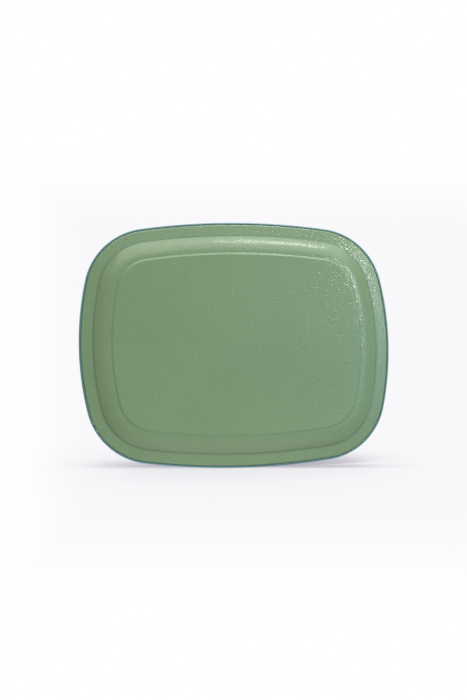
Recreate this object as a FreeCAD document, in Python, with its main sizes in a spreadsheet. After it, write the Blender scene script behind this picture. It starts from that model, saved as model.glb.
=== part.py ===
"""Promotional serving tray: a pressed tinplate tray with a wired rim.

Frame: the tray lies flat with its serving face up. +Z is up, X runs along the long side, Y along the
short side, and the origin is at the middle of the flat underside panel. All lengths are millimetres.

In plan the tray is a rounded rectangle of tangent arcs: two bulging ends, two bulging sides and four
corners. Rim, flange, wall, step and panel are all parallels of that outline.

In section it is one sheet, drawn through panel, step, wall, shoulder, flange, lip and curl. The enamel
lies on the sheet's underside. The printed coat lies on its serving side and round the curl's outside.
"""
import FreeCAD, Part
import math
import os
import Sketcher

DRIVING_DIMENSIONS = [
    ("half_length", 168.3, "middle of the tray to the rim, along X"),
    ("half_width", 131.3, "middle of the tray to the rim, along Y"),
    ("corner_radius", 71.7, "plan radius of the rim at the corners"),
    ("corner_centre_x", 90.6, "centre of the corner arc, along X"),
    ("corner_centre_y", 53.4, "centre of the corner arc, along Y"),
    ("steel_thickness", 0.4, "tinplate sheet"),
    ("enamel_thickness", 0.15, "pebbled coat on the underside"),
    ("print_thickness", 0.1, "printed and varnished coat on the serving side"),
    ("wire_diameter", 1.3, "steel wire inside the curl"),
    ("wire_clearance", 0.05, "radial gap between the wire and the curl"),
    ("panel_inset", 35.8, "rim to the flat panel's edge, in plan"),
    ("border_overlap", 2.0, "how far the swept border reaches over the flat panel"),
    ("plate_overlap", 1.0, "how far the flat plate stays inside the panel's edge"),
    ("step_radius", 1.9, "both bends of the step, at the sheet's mid-line"),
    ("step_angle", 48.0, "steepest slope of the step, in degrees"),
    ("wall_radius", 28.7, "rounded wall, at the sheet's mid-line"),
    ("wall_angle", 38.0, "steepest slope of the wall, in degrees"),
    ("shoulder_radius", 1.5, "bend from the wall to the flange, at the mid-line"),
    ("flange_angle", 5.0, "rise of the flange towards the rim, in degrees"),
    ("lip_radius", 2.0, "bend that turns the flange up to the curl, at the mid-line"),
    ("lip_angle", 75.0, "slope at which the lip meets the curl, in degrees"),
    ("enamel_end_angle", 58.0, "slope of the lip at which the enamel stops, in degrees"),
    ("curl_sweep", 275.0, "how far the sheet is rolled round the wire, in degrees"),
]

HALF_SHEET = "0.5 * Dimensions.steel_thickness"
CURL_RADIUS = f"0.5 * Dimensions.wire_diameter + Dimensions.wire_clearance + {HALF_SHEET}"


def make_sheet(doc):
    """Write the driving dimensions to a spreadsheet, one alias per row."""
    sheet = doc.addObject("Spreadsheet::Sheet", "Dimensions")
    for row, (alias, value, note) in enumerate(DRIVING_DIMENSIONS, start=1):
        sheet.set(f"A{row}", alias)
        sheet.set(f"B{row}", str(value))
        sheet.set(f"C{row}", note)
        sheet.setAlias(f"B{row}", alias)
    doc.recompute()
    return sheet


class Plan:
    """The outline of the rim in plan, and its parallels further in."""

    def __init__(self, sheet):
        self.corner = (sheet.corner_centre_x, sheet.corner_centre_y)
        self.corner_radius = sheet.corner_radius
        reach_x = sheet.half_length - sheet.corner_centre_x
        reach_y = sheet.half_width - sheet.corner_centre_y
        self.end_radius = self.bulge_radius(reach_x, sheet.corner_centre_y)
        self.side_radius = self.bulge_radius(reach_y, sheet.corner_centre_x)
        self.end_centre = sheet.half_length - self.end_radius
        self.side_centre = sheet.half_width - self.side_radius
        self.low_angle = math.atan2(self.corner[1], self.corner[0] - self.end_centre)
        self.high_angle = math.atan2(self.corner[1] - self.side_centre, self.corner[0])

    def bulge_radius(self, reach, offset):
        """Radius of the arc through the middle of a side that is tangent to both corner arcs."""
        corner = self.corner_radius
        return (reach ** 2 + offset ** 2 - corner ** 2) / (2 * (reach - corner))

    def arcs(self, inset):
        """Arcs of the parallel at that inset, anticlockwise from the middle of the +X end.

        Each is (centre, radius, first angle, last angle, name of its radius)."""
        x, y = self.corner
        low, high, half = self.low_angle, self.high_angle, math.pi
        end, side = self.end_radius - inset, self.side_radius - inset
        corner = self.corner_radius - inset
        return [
            ((self.end_centre, 0), end, 0, low, "end"),
            ((x, y), corner, low, high, "corner"),
            ((0, self.side_centre), side, high, half - high, "side"),
            ((-x, y), corner, half - high, half - low, "corner"),
            ((-self.end_centre, 0), end, half - low, half + low, "end"),
            ((-x, -y), corner, half + low, half + high, "corner"),
            ((0, -self.side_centre), side, half + high, 2 * half - high, "side"),
            ((x, -y), corner, 2 * half - high, 2 * half - low, "corner"),
            ((self.end_centre, 0), end, 2 * half - low, 2 * half, "end"),
        ]


def bulge_expression(reach, offset):
    """The spreadsheet form of Plan.bulge_radius."""
    corner = "Dimensions.corner_radius"
    return f"(({reach}) ^ 2 + ({offset}) ^ 2 - {corner} ^ 2) / (2 * (({reach}) - {corner}))"


PLAN_RADII = {
    "corner": "Dimensions.corner_radius",
    "end": bulge_expression(
        "Dimensions.half_length - Dimensions.corner_centre_x", "Dimensions.corner_centre_y"
    ),
    "side": bulge_expression(
        "Dimensions.half_width - Dimensions.corner_centre_y", "Dimensions.corner_centre_x"
    ),
}


class SheetPath:
    """The mid-line of the sheet in section, from the panel outwards to the end of the curl."""

    def __init__(self, sheet):
        self.moves = []
        self.point = (0.0, 0.0)
        self.angle = 0.0
        self.line(sheet.border_overlap)
        self.bend(sheet.step_radius, sheet.step_angle, "Dimensions.step_radius")
        self.bend(sheet.step_radius, 0, "Dimensions.step_radius")
        self.bend(sheet.wall_radius, sheet.wall_angle, "Dimensions.wall_radius")
        self.bend(sheet.shoulder_radius, sheet.flange_angle, "Dimensions.shoulder_radius")
        self.line(self.flange_length(sheet))
        self.bend(sheet.lip_radius, sheet.enamel_end_angle, "Dimensions.lip_radius")
        self.enamel_moves = len(self.moves)
        self.bend(sheet.lip_radius, sheet.lip_angle, "Dimensions.lip_radius")
        self.curl_radius = curl_radius(sheet)
        self.bend(self.curl_radius, sheet.lip_angle - sheet.curl_sweep, CURL_RADIUS)
        self.place(sheet)

    def flange_length(self, sheet):
        """The straight flange takes up what the bends leave of the distance to the rim."""
        flange, lip = math.radians(sheet.flange_angle), math.radians(sheet.lip_angle)
        lip_run = sheet.lip_radius * (math.sin(lip) - math.sin(flange))
        curl_run = curl_radius(sheet) * math.sin(lip) + rim_radius(sheet)
        border = sheet.panel_inset + sheet.border_overlap
        return (border - self.point[0] - lip_run - curl_run) / math.cos(flange)

    def line(self, length):
        start = self.point
        end = (start[0] + length * math.cos(self.angle), start[1] + length * math.sin(self.angle))
        self.moves.append({"start": start, "end": end, "angle": self.angle, "turn": 0})
        self.point = end

    def bend(self, radius, last_degrees, expression):
        """Turn to the given slope along an arc: to the left when the slope grows, else to the right."""
        first, last = self.angle, math.radians(last_degrees)
        turn = 1 if last > first else -1
        centre = (
            self.point[0] - turn * radius * math.sin(first),
            self.point[1] + turn * radius * math.cos(first),
        )
        self.moves.append(
            {"centre": centre, "radius": radius, "first": first, "last": last, "turn": turn,
             "expression": expression}
        )
        self.point = (
            centre[0] + turn * radius * math.sin(last),
            centre[1] - turn * radius * math.cos(last),
        )
        self.angle = last

    def place(self, sheet):
        """Move the path to its place in the XZ plane: the rim at half_length, the enamel on z = 0."""
        shift_x = sheet.half_length - sheet.panel_inset - sheet.border_overlap
        shift_z = sheet.enamel_thickness + 0.5 * sheet.steel_thickness
        for move in self.moves:
            for key in ("start", "end", "centre"):
                if key in move:
                    move[key] = (move[key][0] + shift_x, move[key][1] + shift_z)
        self.wire_centre = self.moves[-1]["centre"]

    def parallel(self, offset, count):
        """Geometry of the first moves, shifted to the left of the path by offset."""
        return [parallel_line(move, offset) if move["turn"] == 0 else parallel_arc(move, offset)
                for move in self.moves[:count]]


def curl_radius(sheet):
    """Mid-line radius of the curl round the wire."""
    return 0.5 * sheet.wire_diameter + sheet.wire_clearance + 0.5 * sheet.steel_thickness


def rim_radius(sheet):
    """Outside radius of the printed curl."""
    return curl_radius(sheet) + 0.5 * sheet.steel_thickness + sheet.print_thickness


def parallel_line(move, offset):
    normal = (-math.sin(move["angle"]) * offset, math.cos(move["angle"]) * offset)
    start = FreeCAD.Vector(move["start"][0] + normal[0], move["start"][1] + normal[1], 0)
    end = FreeCAD.Vector(move["end"][0] + normal[0], move["end"][1] + normal[1], 0)
    return {"curve": Part.LineSegment(start, end), "start": start, "end": end, "ends": (1, 2)}


def parallel_arc(move, offset):
    turn = move["turn"]
    radius = move["radius"] - turn * offset
    centre = FreeCAD.Vector(move["centre"][0], move["centre"][1], 0)
    circle = Part.Circle(centre, FreeCAD.Vector(0, 0, 1), radius)
    quarter = math.pi / 2
    angles = [move["first"] - turn * quarter, move["last"] - turn * quarter]
    arc = Part.ArcOfCircle(circle, min(angles), max(angles))
    start = centre + radius * FreeCAD.Vector(math.cos(angles[0]), math.sin(angles[0]), 0)
    end = centre + radius * FreeCAD.Vector(math.cos(angles[1]), math.sin(angles[1]), 0)
    ends = (1, 2) if turn > 0 else (2, 1)
    return {"curve": arc, "start": start, "end": end, "ends": ends, "turn": turn,
            "expression": move["expression"]}


def origin_plane(body, role):
    """The body's own origin plane of that role."""
    return next(item for item in body.Origin.OriginFeatures if item.Role == role)


def new_sketch(body, name, role):
    sketch = body.newObject("Sketcher::SketchObject", name)
    sketch.AttachmentSupport = [(origin_plane(body, role), "")]
    sketch.MapMode = "FlatFace"
    return sketch


def bind_radius(sketch, index, name, expression):
    """Constrain the radius of one arc or circle and bind it to the spreadsheet."""
    constraint = sketch.addConstraint(
        Sketcher.Constraint("Radius", index, sketch.Geometry[index].Radius)
    )
    sketch.renameConstraint(constraint, name)
    sketch.setExpression(f"Constraints.{name}", expression)


def plan_sketch(body, name, plan, inset, inset_expression):
    """The outline at that inset, tangent arc to arc, on the body's XY plane."""
    sketch = new_sketch(body, name, "XY_Plane")
    arcs = plan.arcs(inset)
    up = FreeCAD.Vector(0, 0, 1)
    for centre, radius, first, last, _ in arcs:
        circle = Part.Circle(FreeCAD.Vector(centre[0], centre[1], 0), up, radius)
        sketch.addGeometry(Part.ArcOfCircle(circle, first, last), False)
    for index in range(len(arcs)):
        following = (index + 1) % len(arcs)
        sketch.addConstraint(Sketcher.Constraint("Tangent", index, 2, following, 1))
    for index, arc in enumerate(arcs):
        bind_radius(sketch, index, f"{arc[4]}_{index}", f"{PLAN_RADII[arc[4]]} - ({inset_expression})")
    return sketch


def section_sketch(body, name, path, lower, upper, count):
    """A closed section between two parallels of the path, on the body's XZ plane.

    lower and upper are (offset, expression of the offset)."""
    sketch = new_sketch(body, name, "XZ_Plane")
    chains = [path.parallel(lower[0], count), path.parallel(upper[0], count)]
    for side, chain, (_, offset) in zip(("lower", "upper"), chains, (lower, upper)):
        for item in chain:
            item["index"] = sketch.addGeometry(item["curve"], False)
        for first, second in zip(chain, chain[1:]):
            sketch.addConstraint(
                Sketcher.Constraint(
                    "Tangent", first["index"], first["ends"][1], second["index"], second["ends"][0]
                )
            )
        for item in chain:
            if "expression" in item:
                sign = "-" if item["turn"] > 0 else "+"
                bind_radius(sketch, item["index"], f"{side}_{item['index']}",
                            f"{item['expression']} {sign} ({offset})")
    for key, end in (("start", 0), ("end", 1)):
        low, high = (chain[-end] for chain in chains)
        cap = sketch.addGeometry(Part.LineSegment(low[key], high[key]), False)
        sketch.addConstraint(Sketcher.Constraint("Coincident", cap, 1, low["index"], low["ends"][end]))
        sketch.addConstraint(Sketcher.Constraint("Coincident", cap, 2, high["index"], high["ends"][end]))
    return sketch


def sweep(body, name, section, spine):
    """Sweep a section round the tray, upright all the way."""
    pipe = body.newObject("PartDesign::AdditivePipe", name)
    pipe.Profile = section
    pipe.Spine = (spine, [])
    pipe.Mode = "Frenet"
    return pipe


def make_layer(doc, label, plan, path, lower, upper, count, bottom, thickness):
    """One layer of the tray: a flat plate for the panel and a swept border that it runs into.

    lower and upper place the layer against the sheet's mid-line; bottom and thickness are the
    expressions for the plate's height and thickness."""
    body = doc.addObject("PartDesign::Body", label)
    body.Label = label
    sheet = doc.Dimensions
    plate_inset = sheet.panel_inset + sheet.plate_overlap
    plate = plan_sketch(body, f"{label}_plate_outline", plan, plate_inset,
                        "Dimensions.panel_inset + Dimensions.plate_overlap")
    plate.setExpression(".AttachmentOffset.Base.z", bottom)
    doc.recompute()
    pad = body.newObject("PartDesign::Pad", f"{label}_plate")
    pad.Profile = plate
    pad.Length = 1.0
    pad.setExpression("Length", thickness)
    doc.recompute()
    spine = plan_sketch(body, f"{label}_rim_line", plan, 0, "0")
    section = section_sketch(body, f"{label}_section", path, lower, upper, count)
    doc.recompute()
    sweep(body, f"{label}_border", section, spine)
    doc.recompute()
    return body


def make_steel_pressing(doc, plan, path):
    """The drawn tinplate pan, with its edge rolled round the wire."""
    half = 0.5 * doc.Dimensions.steel_thickness
    return make_layer(
        doc, "steel_pressing", plan, path, (-half, f"-{HALF_SHEET}"), (half, HALF_SHEET),
        len(path.moves), "Dimensions.enamel_thickness", "Dimensions.steel_thickness"
    )


def make_underside_enamel(doc, plan, path):
    """The green pebbled coat under the sheet, from the panel to the lip."""
    half = 0.5 * doc.Dimensions.steel_thickness
    outer = half + doc.Dimensions.enamel_thickness
    return make_layer(
        doc, "underside_enamel", plan, path,
        (-outer, f"-{HALF_SHEET} - Dimensions.enamel_thickness"), (-half, f"-{HALF_SHEET}"),
        path.enamel_moves, "0", "Dimensions.enamel_thickness"
    )


def make_face_print(doc, plan, path):
    """The printed coat over the serving side, which also wraps the outside of the curl."""
    half = 0.5 * doc.Dimensions.steel_thickness
    outer = half + doc.Dimensions.print_thickness
    return make_layer(
        doc, "face_print", plan, path, (half, HALF_SHEET),
        (outer, f"{HALF_SHEET} + Dimensions.print_thickness"), len(path.moves),
        "Dimensions.enamel_thickness + Dimensions.steel_thickness", "Dimensions.print_thickness"
    )


def make_rim_wire(doc, plan, path):
    """The wire ring that the curl is rolled round."""
    body = doc.addObject("PartDesign::Body", "rim_wire")
    body.Label = "rim_wire"
    spine = plan_sketch(body, "rim_wire_rim_line", plan, 0, "0")
    section = new_sketch(body, "rim_wire_section", "XZ_Plane")
    centre = FreeCAD.Vector(path.wire_centre[0], path.wire_centre[1], 0)
    radius = 0.5 * doc.Dimensions.wire_diameter
    section.addGeometry(Part.Circle(centre, FreeCAD.Vector(0, 0, 1), radius), False)
    bind_radius(section, 0, "wire_radius", "0.5 * Dimensions.wire_diameter")
    doc.recompute()
    sweep(body, "rim_wire_ring", section, spine)
    doc.recompute()
    return body


def check_document(doc, bodies):
    """Stop if any object failed to compute, or any sub-part isn't a valid solid."""
    for item in doc.Objects:
        if "Invalid" in item.State or "Error" in item.State:
            raise RuntimeError(f"{item.Name} did not compute: {item.State}")
    for body in bodies:
        shape = body.Shape
        if shape.isNull() or not shape.isValid() or len(shape.Solids) != 1:
            raise RuntimeError(f"{body.Label} is not one valid solid")


def main():
    doc = FreeCAD.newDocument("ServingTray")
    sheet = make_sheet(doc)
    plan = Plan(sheet)
    path = SheetPath(sheet)
    bodies = [
        make_steel_pressing(doc, plan, path),
        make_underside_enamel(doc, plan, path),
        make_face_print(doc, plan, path),
        make_rim_wire(doc, plan, path),
    ]
    check_document(doc, bodies)
    os.makedirs("parts", exist_ok=True)
    for body in bodies:
        body.Shape.exportStep(os.path.join("parts", f"{body.Label}.step"))
        box = body.Shape.optimalBoundingBox()
        print(f"{body.Label}: {body.Shape.Volume:.0f} mm3, {len(body.Shape.Faces)} faces, "
              f"{box.XLength:.2f} x {box.YLength:.2f} x {box.ZLength:.2f}, z {box.ZMin:.3f} to {box.ZMax:.3f}")


main()
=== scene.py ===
"""Looks of the promotional serving tray.

The tray is one pressed steel sheet, enamelled green underneath and printed teal on its serving face. Both
coats are rebuilt here as fine meshes over the part's own section. The steel and the wire keep their CAD
shapes. For the main view the tray stands on a long edge with its underside towards the lens, so the
stage has one paper for the standing tray and one for the tray lying flat. Lengths are metres.
"""
import math

import bpy
import numpy as np
from mathutils import Matrix, Vector


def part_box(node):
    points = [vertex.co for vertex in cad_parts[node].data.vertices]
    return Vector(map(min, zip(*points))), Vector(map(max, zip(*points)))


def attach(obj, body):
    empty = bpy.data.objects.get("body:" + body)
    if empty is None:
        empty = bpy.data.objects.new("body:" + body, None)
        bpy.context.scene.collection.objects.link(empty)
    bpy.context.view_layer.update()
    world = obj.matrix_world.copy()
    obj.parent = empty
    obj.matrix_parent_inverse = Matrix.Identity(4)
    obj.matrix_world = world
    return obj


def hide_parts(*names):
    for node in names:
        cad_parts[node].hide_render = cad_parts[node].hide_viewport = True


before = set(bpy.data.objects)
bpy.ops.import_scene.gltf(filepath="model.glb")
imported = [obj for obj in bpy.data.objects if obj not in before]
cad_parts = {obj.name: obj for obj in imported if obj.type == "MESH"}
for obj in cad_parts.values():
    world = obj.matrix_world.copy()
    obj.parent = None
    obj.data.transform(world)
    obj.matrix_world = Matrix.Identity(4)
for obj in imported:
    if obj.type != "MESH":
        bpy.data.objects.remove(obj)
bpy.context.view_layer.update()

# ---------------------------------------------------------------- the tray's outline and section
MM = 0.001
DEG = math.radians(1.0)

STEEL = 0.4 * MM
ENAMEL = 0.15 * MM
PRINT = 0.1 * MM
WIRE_RADIUS = 0.65 * MM
WIRE_CLEARANCE = 0.05 * MM
CORNER_RADIUS = 71.7 * MM
CORNER_CENTRE = (90.6 * MM, 53.4 * MM)

PANEL_INSET = 35.8 * MM
BORDER_OVERLAP = 2.0 * MM
STEP_RADIUS, STEP_ANGLE = 1.9 * MM, 48 * DEG
WALL_RADIUS, WALL_ANGLE = 28.7 * MM, 38 * DEG
SHOULDER_RADIUS, FLANGE_ANGLE = 1.5 * MM, 5 * DEG
LIP_RADIUS, LIP_ANGLE = 2.0 * MM, 75 * DEG
ENAMEL_END = math.radians(58)
CURL_RADIUS = WIRE_RADIUS + WIRE_CLEARANCE + STEEL / 2
CURL_SWEEP = 275 * DEG

# Distances from the sheet's middle line to the surfaces of the coats.
STEEL_HALF = STEEL / 2
ENAMEL_OUT = STEEL_HALF + ENAMEL
PRINT_OUT = STEEL_HALF + PRINT

# Mesh spacing: round the outline, along the section, and from the panel's edge to its middle.
OUTLINE_STEP = 1.15 * MM
PANEL_STEP, FLANGE_STEP = 0.7 * MM, 0.9 * MM
TIGHT_TURN, WALL_TURN, CURL_TURN = 5 * DEG, 1.6 * DEG, 9 * DEG
PANEL_RINGS, HIDDEN_RINGS = 26, 2
SHARP_EDGE = math.radians(40)

# Unevenness of the coats. It fades out across the step.
SWELL_HEIGHT = 0.016 * MM
SWELL_EDGE = 36.5 * MM
SWELL_FADE = 1.2 * MM

wire_low, wire_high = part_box("rim_wire")
HALF_LENGTH = wire_high.x + WIRE_CLEARANCE + STEEL + PRINT
HALF_WIDTH = wire_high.y + WIRE_CLEARANCE + STEEL + PRINT
RIM_HEIGHT = (wire_low.z + wire_high.z) / 2
CENTRE = Vector((0.0, 0.0, RIM_HEIGHT))


def bulge_centre(half, corner):
    """Centre, along its own axis, of the end or side arc that is tangent to both of its corner arcs."""
    inner = half - CORNER_RADIUS
    square = CORNER_CENTRE[0] ** 2 + CORNER_CENTRE[1] ** 2
    return (inner ** 2 - square) / (2 * (inner - corner))


END_CENTRE = bulge_centre(HALF_LENGTH, CORNER_CENTRE[0])
SIDE_CENTRE = bulge_centre(HALF_WIDTH, CORNER_CENTRE[1])
LOW = math.atan2(CORNER_CENTRE[1], CORNER_CENTRE[0] - END_CENTRE)
HIGH = math.atan2(CORNER_CENTRE[1] - SIDE_CENTRE, CORNER_CENTRE[0])


def outline(spacing):
    """Points round the rim: (centre x, centre y, radius, angle) for each, over the eight arcs."""
    end_radius = HALF_LENGTH - END_CENTRE
    side_radius = HALF_WIDTH - SIDE_CENTRE
    cx, cy = CORNER_CENTRE
    arcs = [
        (END_CENTRE, 0.0, end_radius, -LOW, LOW),
        (cx, cy, CORNER_RADIUS, LOW, HIGH),
        (0.0, SIDE_CENTRE, side_radius, HIGH, math.pi - HIGH),
        (-cx, cy, CORNER_RADIUS, math.pi - HIGH, math.pi - LOW),
        (-END_CENTRE, 0.0, end_radius, math.pi - LOW, math.pi + LOW),
        (-cx, -cy, CORNER_RADIUS, math.pi + LOW, math.pi + HIGH),
        (0.0, -SIDE_CENTRE, side_radius, math.pi + HIGH, 2 * math.pi - HIGH),
        (cx, -cy, CORNER_RADIUS, 2 * math.pi - HIGH, 2 * math.pi - LOW),
    ]
    rows = []
    for x, y, radius, start, stop in arcs:
        count = max(8, int(round(radius * (stop - start) / spacing)))
        for k in range(count):
            rows.append((x, y, radius, start + (stop - start) * k / count))
    return np.array(rows)


class Section:
    """The sheet's middle line from the panel to the rolled edge, as a run of straight and curved pieces."""

    def __init__(self, x, z):
        self.x, self.z, self.turn = x, z, 0.0
        self.pieces = []

    def line(self, length, step):
        count = max(1, int(round(length / step)))
        self.pieces.append(("line", self.x, self.z, self.turn, length, count))
        self.x += length * math.cos(self.turn)
        self.z += length * math.sin(self.turn)

    def bend(self, radius, stop, step):
        side = 1.0 if stop > self.turn else -1.0
        cx = self.x - side * radius * math.sin(self.turn)
        cz = self.z + side * radius * math.cos(self.turn)
        count = max(2, int(math.ceil(abs(stop - self.turn) / step)))
        self.pieces.append(("bend", cx, cz, side * radius, self.turn, stop, count))
        self.x = cx + side * radius * math.sin(stop)
        self.z = cz - side * radius * math.cos(stop)
        self.turn = stop

    def offset(self, away, last=None):
        """Points (x, z) at a distance to the left of the middle line.

        With last, the line ends where the lip reaches that slope."""
        points = []
        for piece in self.pieces:
            if piece[0] == "line":
                _, x, z, turn, length, count = piece
                for k in range(count):
                    s = length * k / count
                    points.append((x + s * math.cos(turn) - away * math.sin(turn),
                                   z + s * math.sin(turn) + away * math.cos(turn)))
                continue
            _, cx, cz, radius, start, stop, count = piece
            ends_here = last is not None and start < last < stop
            if ends_here:
                stop = last
            closes = ends_here or piece is self.pieces[-1]
            for k in range(count + (1 if closes else 0)):
                angle = start + (stop - start) * k / count
                reach = radius - away
                points.append((cx + reach * math.sin(angle), cz - reach * math.cos(angle)))
            if ends_here:
                break
        return np.array(points)


def tray_section():
    """The middle line in the plane through the tray's long axis."""
    path = Section(HALF_LENGTH - PANEL_INSET - BORDER_OVERLAP, ENAMEL + STEEL_HALF)
    path.line(BORDER_OVERLAP, PANEL_STEP)
    path.bend(STEP_RADIUS, STEP_ANGLE, TIGHT_TURN)
    path.bend(STEP_RADIUS, 0.0, TIGHT_TURN)
    path.bend(WALL_RADIUS, WALL_ANGLE, WALL_TURN)
    path.bend(SHOULDER_RADIUS, FLANGE_ANGLE, TIGHT_TURN)
    lip_run = LIP_RADIUS * (math.sin(LIP_ANGLE) - math.sin(FLANGE_ANGLE))
    lip_end = HALF_LENGTH - PRINT_OUT - CURL_RADIUS - CURL_RADIUS * math.sin(LIP_ANGLE)
    path.line((lip_end - lip_run - path.x) / math.cos(FLANGE_ANGLE), FLANGE_STEP)
    path.bend(LIP_RADIUS, LIP_ANGLE, TIGHT_TURN)
    path.bend(CURL_RADIUS, LIP_ANGLE - CURL_SWEEP, CURL_TURN)
    return path


def ring(plan, x, z, wave):
    """One closed row of points where the section's point x, z runs round the outline."""
    inset = HALF_LENGTH - x
    radius = plan[:, 2] - inset
    px = plan[:, 0] + radius * np.cos(plan[:, 3])
    py = plan[:, 1] + radius * np.sin(plan[:, 3])
    return np.stack([px, py, np.full(len(plan), z) + wave(px, py, inset)], 1)


def soft_wave(x, y, inset):
    """The slight unevenness of the wall, flange and rim, up to 0.03 mm. The panel stays flat."""
    u, v = x / MM, y / MM
    swell = (np.sin(u / 31.0 + 0.7) * np.cos(v / 27.0 - 0.4)
             + 0.6 * np.sin(u / 17.0 - v / 23.0 + 1.9)
             + 0.35 * np.cos(u / 9.5 + v / 12.0))
    return SWELL_HEIGHT * swell / (1.0 + math.exp((inset - SWELL_EDGE) / SWELL_FADE))


def still(x, y, inset):
    """No unevenness, for the surfaces that lie on the steel."""
    return np.zeros_like(x)


def sheet_surface(plan, section, wave, rings):
    """Rows of points from the middle outwards: the flat panel's shrunken copies of the first row, then the
    section's own rows with their unevenness."""
    first = ring(plan, section[0, 0], section[0, 1], still)
    rows = []
    for k in range(1, rings):
        row = first.copy()
        row[:, :2] *= k / rings
        rows.append(row)
    for x, z in section:
        rows.append(ring(plan, x, z, wave))
    return rows


def film_from_rows(name, outer, inner, flip):
    """A closed film between two surfaces, each a list of rows that starts near the panel's middle."""
    count = len(outer[0])
    loops = outer + inner[::-1]
    middles = [np.array([[0.0, 0.0, side[0][0, 2]]]) for side in (outer, inner)]
    verts = np.concatenate([middles[0]] + loops + [middles[1]])
    here = np.arange(count)
    there = (here + 1) % count
    faces = [(0, 1 + b, 1 + a) for a, b in zip(here, there)]
    for k in range(len(loops) - 1):
        low = 1 + k * count
        high = low + count
        quads = np.stack([low + here, low + there, high + there, high + here], 1)
        faces.extend(map(tuple, quads.tolist()))
    last = 1 + (len(loops) - 1) * count
    end = len(verts) - 1
    faces.extend((last + a, last + b, end) for a, b in zip(here, there))
    if flip:
        faces = [face[::-1] for face in faces]
    mesh = bpy.data.meshes.new(name)
    mesh.from_pydata(verts.tolist(), [], faces)
    mesh.update()
    mesh.polygons.foreach_set("use_smooth", [True] * len(mesh.polygons))
    mesh.set_sharp_from_angle(angle=SHARP_EDGE)
    piece = bpy.data.objects.new(name, mesh)
    bpy.context.scene.collection.objects.link(piece)
    return piece


# ---------------------------------------------------------------- node helpers
def new_material(name):
    material = bpy.data.materials.new(name)
    material.use_nodes = True
    tree = material.node_tree
    tree.nodes.clear()
    return material, tree


def add(tree, kind, **values):
    node = tree.nodes.new(kind)
    for key, value in values.items():
        setattr(node, key, value)
    return node


def join(tree, source, target):
    tree.links.new(source, target)


def object_coords(tree):
    return add(tree, "ShaderNodeTexCoord").outputs["Object"]


def math_node(tree, operation, *values):
    """A math node on values that are numbers or sockets."""
    node = add(tree, "ShaderNodeMath", operation=operation)
    for k, value in enumerate(values):
        if isinstance(value, (int, float)):
            node.inputs[k].default_value = value
        else:
            join(tree, value, node.inputs[k])
    return node.outputs[0]


def dot(tree, vector, axis):
    """The dot product of a vector socket and a fixed axis."""
    node = add(tree, "ShaderNodeVectorMath", operation="DOT_PRODUCT")
    join(tree, vector, node.inputs[0])
    node.inputs[1].default_value = tuple(axis)
    return node.outputs["Value"]


def noise(tree, coords, per_metre, detail, roughness=0.5):
    node = add(tree, "ShaderNodeTexNoise")
    node.inputs["Scale"].default_value = per_metre
    node.inputs["Detail"].default_value = detail
    node.inputs["Roughness"].default_value = roughness
    join(tree, coords, node.inputs["Vector"])
    return node.outputs["Fac"]


def spread(tree, value, low, high, to_low, to_high):
    """A soft ramp: to_low where the value is at or under low, to_high where it is at or over high."""
    node = add(tree, "ShaderNodeMapRange", interpolation_type="SMOOTHSTEP")
    join(tree, value, node.inputs["Value"])
    node.inputs["From Min"].default_value = low
    node.inputs["From Max"].default_value = high
    node.inputs["To Min"].default_value = to_low
    node.inputs["To Max"].default_value = to_high
    return node.outputs["Result"]


def mix_colour(tree, share, first, second, blend="MIX"):
    """First colour where the share is 0, second (or their blend) where it is 1."""
    node = add(tree, "ShaderNodeMix", data_type="RGBA", blend_type=blend)
    if isinstance(share, float):
        node.inputs[0].default_value = share
    else:
        join(tree, share, node.inputs[0])
    for k, value in ((6, first), (7, second)):
        if isinstance(value, tuple):
            node.inputs[k].default_value = (*value, 1.0)
        else:
            join(tree, value, node.inputs[k])
    return node.outputs[2]


def mix_shader(tree, share, first, second):
    node = add(tree, "ShaderNodeMixShader")
    for k, value in enumerate((share, first, second)):
        join(tree, value, node.inputs[k])
    return node.outputs[0]


def pimples(tree, coords, per_metre, kept, radius):
    """Small round bumps: a share of the cells carry one in the middle, height 1 down to 0 at the radius."""
    node = add(tree, "ShaderNodeTexVoronoi", feature="F1", distance="EUCLIDEAN")
    node.inputs["Scale"].default_value = per_metre
    join(tree, coords, node.inputs["Vector"])
    split = add(tree, "ShaderNodeSeparateColor")
    join(tree, node.outputs["Color"], split.inputs[0])
    chosen = spread(tree, split.outputs[0], 1.0 - kept - 0.01, 1.0 - kept + 0.01, 0.0, 1.0)
    dome = spread(tree, node.outputs["Distance"], 0.0, radius, 1.0, 0.0)
    return math_node(tree, "MULTIPLY", chosen, dome)


def surface(tree, colour, roughness, height, distance, metallic=0.0, coat=0.0, coat_roughness=0.1):
    """A principled surface whose bumps are height times distance, in metres."""
    shader = add(tree, "ShaderNodeBsdfPrincipled")
    join(tree, colour, shader.inputs["Base Color"])
    join(tree, roughness, shader.inputs["Roughness"])
    shader.inputs["Metallic"].default_value = metallic
    shader.inputs["IOR"].default_value = 1.5
    shader.inputs["Coat Weight"].default_value = coat
    shader.inputs["Coat Roughness"].default_value = coat_roughness
    bump = add(tree, "ShaderNodeBump")
    bump.inputs["Strength"].default_value = 1.0
    bump.inputs["Distance"].default_value = distance
    join(tree, height, bump.inputs["Height"])
    join(tree, bump.outputs["Normal"], shader.inputs["Normal"])
    join(tree, bump.outputs["Normal"], shader.inputs["Coat Normal"])
    out = add(tree, "ShaderNodeOutputMaterial")
    join(tree, shader.outputs["BSDF"], out.inputs["Surface"])


# ---------------------------------------------------------------- materials
# Heights over the panel's underside between which the enamel's look changes, and where its painted crease
# shade lies.
WALL_FOOT = (0.2 * MM, 1.6 * MM)
CREASE_SHADE_BELOW = (6.6 * MM, 7.45 * MM)
CREASE_SHADE_BEYOND = (7.55 * MM, 7.85 * MM)
FLANGE_FOOT = (7.3 * MM, 7.9 * MM)


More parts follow.
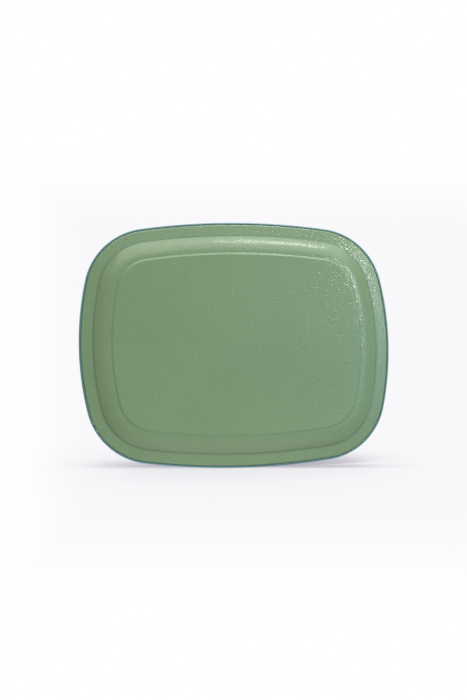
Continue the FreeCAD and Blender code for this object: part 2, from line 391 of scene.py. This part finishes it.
def green_enamel():
    """Stoved sage-green enamel, glossy over a fine orange peel, with small pimples.

    It has painted shade, a darker band, in the crease between wall and flange, and its peel grows from the
    panel outwards."""
    material, tree = new_material("green_enamel_film")
    coords = object_coords(tree)
    split = add(tree, "ShaderNodeSeparateXYZ")
    join(tree, coords, split.inputs[0])
    level = split.outputs["Z"]

    clouds = spread(tree, noise(tree, coords, 9.0, 3.0), 0.35, 0.65, 0.0, 1.0)
    grain = spread(tree, noise(tree, coords, 420.0, 2.0), 0.40, 0.72, 0.0, 0.48)
    # Painted shade: a darker band of the enamel in the crease between wall and flange, where shade falls.
    below = spread(tree, level, *CREASE_SHADE_BELOW, 0.0, 1.0)
    beyond = spread(tree, level, *CREASE_SHADE_BEYOND, 1.0, 0.0)
    painted_crease_shade = math_node(tree, "MULTIPLY", math_node(tree, "MULTIPLY", below, beyond), 0.85)
    colour = mix_colour(tree, clouds, (0.192, 0.303, 0.144), (0.205, 0.320, 0.154))
    colour = mix_colour(tree, grain, colour, (0.167, 0.266, 0.126))
    # The darker green of the painted crease shade.
    colour = mix_colour(tree, painted_crease_shade, colour, (0.118, 0.205, 0.100))

    peel = noise(tree, coords, 620.0, 1.0, 0.45)
    broad = noise(tree, coords, 260.0, 1.0, 0.4)
    dots = pimples(tree, coords, 420.0, 0.22, 0.30)
    height = math_node(tree, "MULTIPLY_ADD", broad, 0.5, peel)
    height = math_node(tree, "MULTIPLY_ADD", dots, 0.75, height)
    wall = spread(tree, level, *WALL_FOOT, 0.75, 0.9)
    flange = spread(tree, level, *FLANGE_FOOT, 0.0, 0.15)
    height = math_node(tree, "MULTIPLY", height, math_node(tree, "ADD", wall, flange))

    roughness = spread(tree, noise(tree, coords, 60.0, 2.0), 0.3, 0.7, 0.34, 0.44)
    surface(tree, colour, roughness, height, 0.20 * MM, coat=0.75, coat_roughness=0.10)
    return material


def teal_print():
    """Teal lithographed ink under a clear varnish."""
    material, tree = new_material("teal_print_film")
    coords = object_coords(tree)
    clouds = spread(tree, noise(tree, coords, 14.0, 3.0), 0.35, 0.65, 0.0, 1.0)
    grain = spread(tree, noise(tree, coords, 260.0, 3.0), 0.42, 0.75, 0.0, 0.16)
    colour = mix_colour(tree, clouds, (0.066, 0.246, 0.256), (0.076, 0.266, 0.276))
    colour = mix_colour(tree, grain, colour, (0.052, 0.206, 0.216))
    peel = noise(tree, coords, 350.0, 1.5, 0.4)
    roughness = spread(tree, noise(tree, coords, 45.0, 2.0), 0.3, 0.7, 0.26, 0.36)
    surface(tree, colour, roughness, peel, 0.02 * MM, coat=0.9, coat_roughness=0.22)
    return material


def metal(name, light, dark, rough_low, rough_high):
    """Bare metal with dull patches and a fine grain."""
    material, tree = new_material(name)
    coords = object_coords(tree)
    patches = spread(tree, noise(tree, coords, 80.0, 3.0), 0.35, 0.7, 0.0, 1.0)
    grain = noise(tree, coords, 1500.0, 2.0)
    colour = mix_colour(tree, patches, light, dark)
    roughness = spread(tree, grain, 0.3, 0.7, rough_low, rough_high)
    surface(tree, colour, roughness, grain, 0.01 * MM, metallic=1.0)
    return material


# ---------------------------------------------------------------- pieces
plan = outline(OUTLINE_STEP)
section = tray_section()

enamel_outer = sheet_surface(plan, section.offset(-ENAMEL_OUT, ENAMEL_END), soft_wave, PANEL_RINGS)
enamel_inner = sheet_surface(plan, section.offset(-STEEL_HALF, ENAMEL_END), still, HIDDEN_RINGS)
enamel = film_from_rows("enamel_underside", enamel_outer, enamel_inner, False)
enamel.data.materials.append(green_enamel())
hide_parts("underside_enamel")
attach(enamel, "root")

print_outer = sheet_surface(plan, section.offset(PRINT_OUT), soft_wave, PANEL_RINGS)
print_inner = sheet_surface(plan, section.offset(STEEL_HALF), still, HIDDEN_RINGS)
face = film_from_rows("printed_face", print_outer, print_inner, True)
face.data.materials.append(teal_print())
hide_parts("face_print")
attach(face, "root")

bare_tinplate = metal("bare_tinplate", (0.66, 0.66, 0.64), (0.46, 0.46, 0.45), 0.28, 0.46)
drawn_wire = metal("drawn_wire", (0.50, 0.49, 0.47), (0.34, 0.33, 0.32), 0.24, 0.42)
for node, slot, material in (
    ("steel_pressing", "tinplate", bare_tinplate),
    ("rim_wire", "steel_wire", drawn_wire),
):
    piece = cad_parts[node]
    piece.data.materials.clear()
    piece.data.materials.append(material)
    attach(piece, "root")

# ---------------------------------------------------------------- camera
# The tray stands on a long edge with its underside towards the camera, turned and leant back a little.
YAW, PITCH, ROLL = 0.1801, -0.0642, 0.0238
DISTANCE = 1.677
SHIFT_LEFT, SHIFT_DOWN = 0.00304, 0.00575
LENS, SENSOR_WIDTH = 80.68, 36.0
CLIP_NEAR, CLIP_FAR = 0.05, 60.0

turned = Matrix.Rotation(ROLL, 3, "Z") @ Matrix.Rotation(PITCH, 3, "X") @ Matrix.Rotation(YAW, 3, "Y")
stand = Matrix(((1, 0, 0), (0, -1, 0), (0, 0, -1)))
axes = stand @ turned.transposed()
RIGHT, UP, BACK = (axes.col[k].copy() for k in range(3))

camera_data = bpy.data.cameras.new("camera")
camera_data.lens = LENS
camera_data.sensor_width = SENSOR_WIDTH
camera_data.clip_start = CLIP_NEAR
camera_data.clip_end = CLIP_FAR
camera_data.dof.use_dof = False
camera = bpy.data.objects.new("camera", camera_data)
bpy.context.scene.collection.objects.link(camera)
place = CENTRE - RIGHT * SHIFT_LEFT - UP * SHIFT_DOWN + BACK * DISTANCE
camera.matrix_world = Matrix.Translation(place) @ axes.to_4x4()
bpy.context.scene.camera = camera

# ---------------------------------------------------------------- stage
PALE = (0.939, 0.938, 0.957)
WHITE = (1.0, 1.0, 1.0)

# Contact shade: the colours it takes behind and in front of the touching line, and how it is gathered.
SHADE_BEHIND, SHADE_FRONT = (0.50, 0.47, 0.53), (0.94, 0.935, 0.95)
SHADE_REACH = 0.09
SHADE_TURN = 9 * MM
SHADE_OPEN = (0.80, 0.995)

STANDING_LOOK_DOWN = math.radians(5.5)
STANDING_HALF = 1.0
BEAD_ROWS = 40
TABLE_LEVEL = -0.4 * MM
TABLE_HALF = 12.0


def plane(name, origin, along, across, half):
    """A square stage piece round origin, spanned by two directions and facing along x across."""
    mesh = bpy.data.meshes.new(name)
    corners = [origin + along * a + across * b
               for a, b in ((-half, -half), (half, -half), (half, half), (-half, half))]
    mesh.from_pydata([tuple(c) for c in corners], [], [(0, 1, 2, 3)])
    piece = bpy.data.objects.new(name, mesh)
    bpy.context.scene.collection.objects.link(piece)
    return piece


def contact_shade(tree, coords, centre, toward_lens):
    """White in the open, grey where the tray closes over the paper, darker behind the touching line."""
    nook = add(tree, "ShaderNodeAmbientOcclusion", samples=8)
    nook.inputs["Distance"].default_value = SHADE_REACH
    start = Vector(toward_lens).dot(Vector(centre))
    depth = dot(tree, coords, toward_lens)
    in_front = spread(tree, depth, start - SHADE_TURN, start + SHADE_TURN, 0.0, 1.0)
    shade = mix_colour(tree, in_front, SHADE_BEHIND, SHADE_FRONT)
    return mix_colour(tree, spread(tree, nook.outputs["AO"], *SHADE_OPEN, 0.0, 1.0), shade, WHITE)


def floor_material(name, centre, toward_lens, fade, albedo, glow, clear_far):
    """Pale paper that is clear from behind. From near to far it melts away, or into an even pale glow."""
    material, tree = new_material(name)
    coords = object_coords(tree)

    fibre = noise(tree, coords, 300.0, 2.0)
    paper = add(tree, "ShaderNodeBsdfDiffuse")
    faint = tuple(0.985 * c for c in albedo)
    join(tree, mix_colour(tree, fibre, faint, albedo), paper.inputs["Color"])
    lift = add(tree, "ShaderNodeEmission")
    shade = contact_shade(tree, coords, centre, toward_lens)
    join(tree, mix_colour(tree, 1.0, PALE, shade, "MULTIPLY"), lift.inputs["Color"])
    lift.inputs["Strength"].default_value = glow
    lit_paper = add(tree, "ShaderNodeAddShader")
    join(tree, paper.outputs[0], lit_paper.inputs[0])
    join(tree, lift.outputs[0], lit_paper.inputs[1])

    if clear_far:
        beyond = add(tree, "ShaderNodeBsdfTransparent")
    else:
        beyond = add(tree, "ShaderNodeEmission")
        beyond.inputs["Color"].default_value = (*PALE, 1.0)
    away = add(tree, "ShaderNodeVectorMath", operation="DISTANCE")
    join(tree, coords, away.inputs[0])
    away.inputs[1].default_value = tuple(centre)
    far = spread(tree, away.outputs["Value"], *fade, 0.0, 1.0)
    front = mix_shader(tree, far, lit_paper.outputs[0], beyond.outputs[0])

    backfacing = add(tree, "ShaderNodeNewGeometry").outputs["Backfacing"]
    clear = add(tree, "ShaderNodeBsdfTransparent")
    out = add(tree, "ShaderNodeOutputMaterial")
    join(tree, mix_shader(tree, backfacing, front, clear.outputs[0]), out.inputs["Surface"])
    return material


# The paper that the standing edge rests on, seen at a low angle by the camera. It touches the bead's
# lowest point.
floor_normal = (UP * math.cos(STANDING_LOOK_DOWN) + BACK * math.sin(STANDING_LOOK_DOWN)).normalized()
floor_across = RIGHT.cross(floor_normal).normalized()
bead = np.concatenate(print_outer[-BEAD_ROWS:])
touch = Vector(bead[int((bead @ np.array(floor_normal)).argmin())])
paper_floor = plane("paper_floor", touch, RIGHT, -floor_across, STANDING_HALF)
if paper_floor.data.polygons[0].normal.dot(floor_normal) < 0:
    paper_floor.data.flip_normals()
paper_floor.data.materials.append(floor_material(
    "standing_paper", touch, floor_across, (0.05, 0.27), (0.17, 0.165, 0.175), 0.76, True))
paper_floor.visible_shadow = False

# The table under the tray when it lies flat, seen only from above.
table = plane("table", Vector((0.0, 0.0, TABLE_LEVEL)), Vector((1, 0, 0)), Vector((0, 1, 0)), TABLE_HALF)
table.data.materials.append(floor_material(
    "table_paper", (0, 0, 0), (0, 0, 1), (0.35, 1.3), (0.45, 0.45, 0.45), 0.50, False))
table.visible_shadow = False
table.visible_diffuse = False
table.visible_glossy = False

# ---------------------------------------------------------------- light
FRONT_LEFT, FRONT_RIGHT = (0.43, 0.41, 0.38), (0.40, 0.48, 0.57)
WINDOW_BLUE = (0.52, 1.0, 1.50)


def studio_world():
    """A white backdrop, pale straight behind the standing tray, and a dimmer room in front of it."""
    world = bpy.data.worlds.new("studio")
    bpy.context.scene.world = world
    world.use_nodes = True
    tree = world.node_tree
    tree.nodes.clear()
    way = add(tree, "ShaderNodeTexCoord").outputs["Generated"]
    rise, aside = dot(tree, way, UP), dot(tree, way, RIGHT)
    over = spread(tree, rise, 0.07, 0.125, 0.0, 1.0)
    under = spread(tree, rise, -0.165, -0.09, 1.0, 0.0)
    left = spread(tree, aside, -0.145, -0.085, 1.0, 0.0)
    edge = math_node(tree, "MAXIMUM", math_node(tree, "MAXIMUM", over, under), left)
    backdrop = mix_colour(tree, edge, PALE, WHITE)
    room = mix_colour(tree, spread(tree, aside, -0.5, 0.9, 0.0, 1.0), FRONT_LEFT, FRONT_RIGHT)
    behind_tray = spread(tree, dot(tree, way, (0, 0, 1)), -0.12, 0.02, 0.0, 1.0)
    glow = add(tree, "ShaderNodeBackground")
    join(tree, mix_colour(tree, behind_tray, room, backdrop), glow.inputs["Color"])
    out = add(tree, "ShaderNodeOutputWorld")
    join(tree, glow.outputs[0], out.inputs["Surface"])


def area_light(name, toward, distance, size, radiance, colour=WHITE):
    """A flat lamp facing the tray from a direction (right, up, towards the camera)."""
    data = bpy.data.lights.new(name, "AREA")
    data.shape = "RECTANGLE"
    data.size, data.size_y = size
    data.energy = radiance * math.pi * size[0] * size[1]
    data.color = colour
    lamp = bpy.data.objects.new(name, data)
    bpy.context.scene.collection.objects.link(lamp)
    way = (RIGHT * toward[0] + UP * toward[1] + BACK * toward[2]).normalized()
    lamp.location = CENTRE + way * distance
    lamp.rotation_mode = "QUATERNION"
    lamp.rotation_quaternion = way.to_track_quat("Z", "Y")


studio_world()
# Soft light overall, the streak on the top wall, the glints at the upper right, and the cool right side.
area_light("overhead", (0.18, 0.89, 0.40), 1.5, (2.2, 1.90), 1.45)
area_light("softbox", (0.33, 0.87, 0.386), 1.3, (0.32, 0.20), 11.0)
area_light("compact", (0.58, 0.285, 0.763), 1.6, (0.10, 0.10), 64.0)
area_light("window", (0.66, 0.13, 0.74), 1.8, (0.46, 0.60), 1.3, WINDOW_BLUE)

bpy.context.scene.view_settings.view_transform = "Standard"
